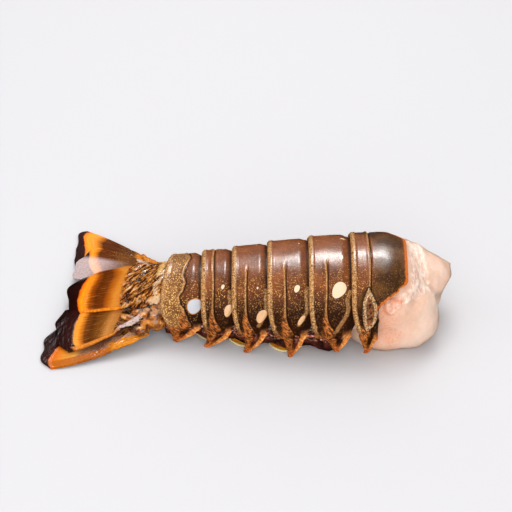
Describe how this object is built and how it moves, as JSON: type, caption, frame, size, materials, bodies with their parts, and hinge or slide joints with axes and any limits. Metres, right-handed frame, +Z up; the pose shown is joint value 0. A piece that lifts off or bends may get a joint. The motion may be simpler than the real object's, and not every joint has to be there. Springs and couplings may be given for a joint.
{
  "type": "raw lobster tail",
  "caption": "Raw spiny lobster tail in its spotted brown shell, belly down, with pink-white flesh bulging from the cut end and an orange fan.",
  "frame": {"origin": "centre of the bounding box, on the slab the tail lies on", "axes": "+X from the fan to the cut end, +Y to the tail's far side in the picture, +Z up from the slab"},
  "size_m": [0.1972, 0.0999, 0.046],
  "materials": {
    "shell": "wet, stippled",
    "fan_blade": "wet, banded",
    "raw_flesh": "moist, translucent",
    "belly_skin": "moist",
    "swimmeret": "leathery"
  },
  "bodies": {
    "root": {"flesh": "raw_flesh", "belly_skin": "belly_skin", "plate_1": "shell", "plate_2": "shell", "plate_3": "shell", "plate_4": "shell", "plate_5": "shell", "plate_6": "shell", "telson": "fan_blade", "near_endopod": "fan_blade", "near_exopod": "fan_blade", "far_endopod": "fan_blade", "far_exopod": "fan_blade", "near_hinge": "shell", "far_hinge": "shell", "near_swimmeret_2": "swimmeret", "near_swimmeret_3": "swimmeret", "near_swimmeret_4": "swimmeret", "near_swimmeret_5": "swimmeret", "far_swimmeret_2": "swimmeret", "far_swimmeret_3": "swimmeret", "far_swimmeret_4": "swimmeret", "far_swimmeret_5": "swimmeret"}
  },
  "joints": []
}
